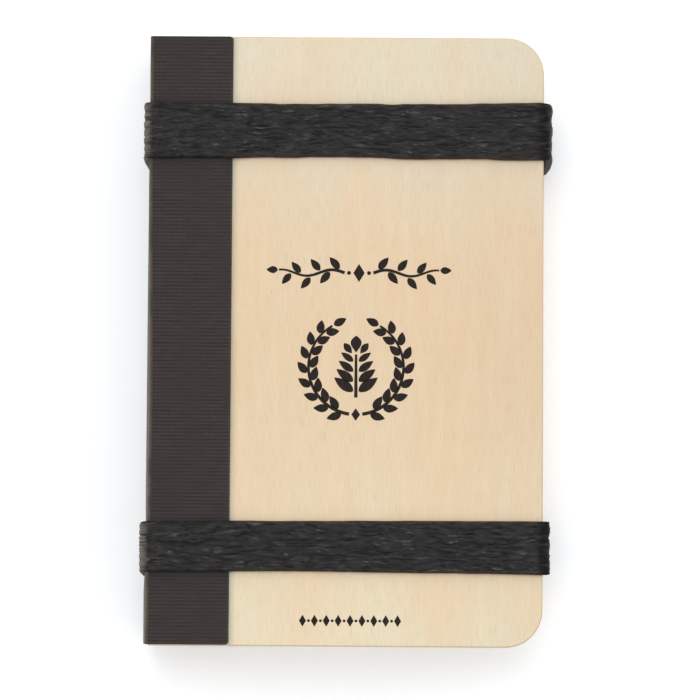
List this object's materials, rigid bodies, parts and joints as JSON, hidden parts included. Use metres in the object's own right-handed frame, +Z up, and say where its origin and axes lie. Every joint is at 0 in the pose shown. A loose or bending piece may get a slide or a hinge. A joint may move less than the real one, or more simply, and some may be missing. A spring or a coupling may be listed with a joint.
{
  "type": "flower press",
  "caption": "Book-style pocket flower press: plywood boards hinged by a cloth spine, closed round loose blotters and corrugated cards by wide elastic bands.",
  "frame": {"origin": "on the surface that the press lies on, under the middle of the press and its two bands", "axes": "+Z up through the closed press, from the back board to the front board; +Y towards the head; +X from the spine to the fore edge"},
  "size_m": [0.094, 0.14, 0.0194],
  "materials": {
    "plywood": "matte",
    "book_cloth": "matte",
    "lining_paper": "matte",
    "elastic": "matte",
    "corrugated_card": "matte",
    "blotting_paper": "matte",
    "printing_ink": "matte"
  },
  "bodies": {
    "back_cover": {"back_board": "plywood", "back_flap": "book_cloth"},
    "spine": {"spine_panel": "book_cloth", "spine_lining": "lining_paper"},
    "front_cover": {"front_board": "plywood", "front_flap": "book_cloth"},
    "upper_band": {"upper_band": "elastic"},
    "lower_band": {"lower_band": "elastic"},
    "card_1": {"card_1": "corrugated_card"},
    "card_2": {"card_2": "corrugated_card"},
    "card_3": {"card_3": "corrugated_card"},
    "card_4": {"card_4": "corrugated_card"},
    "blotter_1": {"blotter_1": "blotting_paper"},
    "blotter_2": {"blotter_2": "blotting_paper"},
    "blotter_3": {"blotter_3": "blotting_paper"},
    "blotter_4": {"blotter_4": "blotting_paper"},
    "blotter_5": {"blotter_5": "blotting_paper"},
    "blotter_6": {"blotter_6": "blotting_paper"}
  },
  "joints": [
    {"name": "spine_fold", "type": "hinge", "parent": "back_cover", "child": "spine", "pos_m": [-0.04485, 0, 0.00195], "axis": [0, -1, 0], "range_deg": [0, 90]},
    {"name": "cover_fold", "type": "hinge", "parent": "spine", "child": "front_cover", "pos_m": [-0.04485, 0, 0.0175], "axis": [0, -1, 0], "range_deg": [0, 90]},
    {"name": "upper_band_off", "type": "slide", "parent": "back_cover", "child": "upper_band", "axis": [0, 1, 0], "range_m": [0, 0.055], "deforming": ["upper_band"]},
    {"name": "lower_band_off", "type": "slide", "parent": "back_cover", "child": "lower_band", "axis": [0, -1, 0], "range_m": [0, 0.055], "deforming": ["lower_band"]},
    {"name": "card_1_out", "type": "slide", "parent": "back_cover", "child": "card_1", "axis": [0, -1, 0], "range_m": [0, 0.145]},
    {"name": "card_2_out", "type": "slide", "parent": "back_cover", "child": "card_2", "axis": [0, -1, 0], "range_m": [0, 0.145]},
    {"name": "card_3_out", "type": "slide", "parent": "back_cover", "child": "card_3", "axis": [0, -1, 0], "range_m": [0, 0.145]},
    {"name": "card_4_out", "type": "slide", "parent": "back_cover", "child": "card_4", "axis": [0, -1, 0], "range_m": [0, 0.145]},
    {"name": "blotter_1_out", "type": "slide", "parent": "back_cover", "child": "blotter_1", "axis": [0, -1, 0], "range_m": [0, 0.145]},
    {"name": "blotter_2_out", "type": "slide", "parent": "back_cover", "child": "blotter_2", "axis": [0, -1, 0], "range_m": [0, 0.145]},
    {"name": "blotter_3_out", "type": "slide", "parent": "back_cover", "child": "blotter_3", "axis": [0, -1, 0], "range_m": [0, 0.145]},
    {"name": "blotter_4_out", "type": "slide", "parent": "back_cover", "child": "blotter_4", "axis": [0, -1, 0], "range_m": [0, 0.145]},
    {"name": "blotter_5_out", "type": "slide", "parent": "back_cover", "child": "blotter_5", "axis": [0, -1, 0], "range_m": [0, 0.145]},
    {"name": "blotter_6_out", "type": "slide", "parent": "back_cover", "child": "blotter_6", "axis": [0, -1, 0], "range_m": [0, 0.145]}
  ],
  "couplings": [
    {"joint": "cover_fold", "follows": "spine_fold", "ratio": 1},
    {"joint": "upper_band_off", "follows": "spine_fold", "m_per_rad": 0.035},
    {"joint": "lower_band_off", "follows": "spine_fold", "m_per_rad": 0.035}
  ]
}
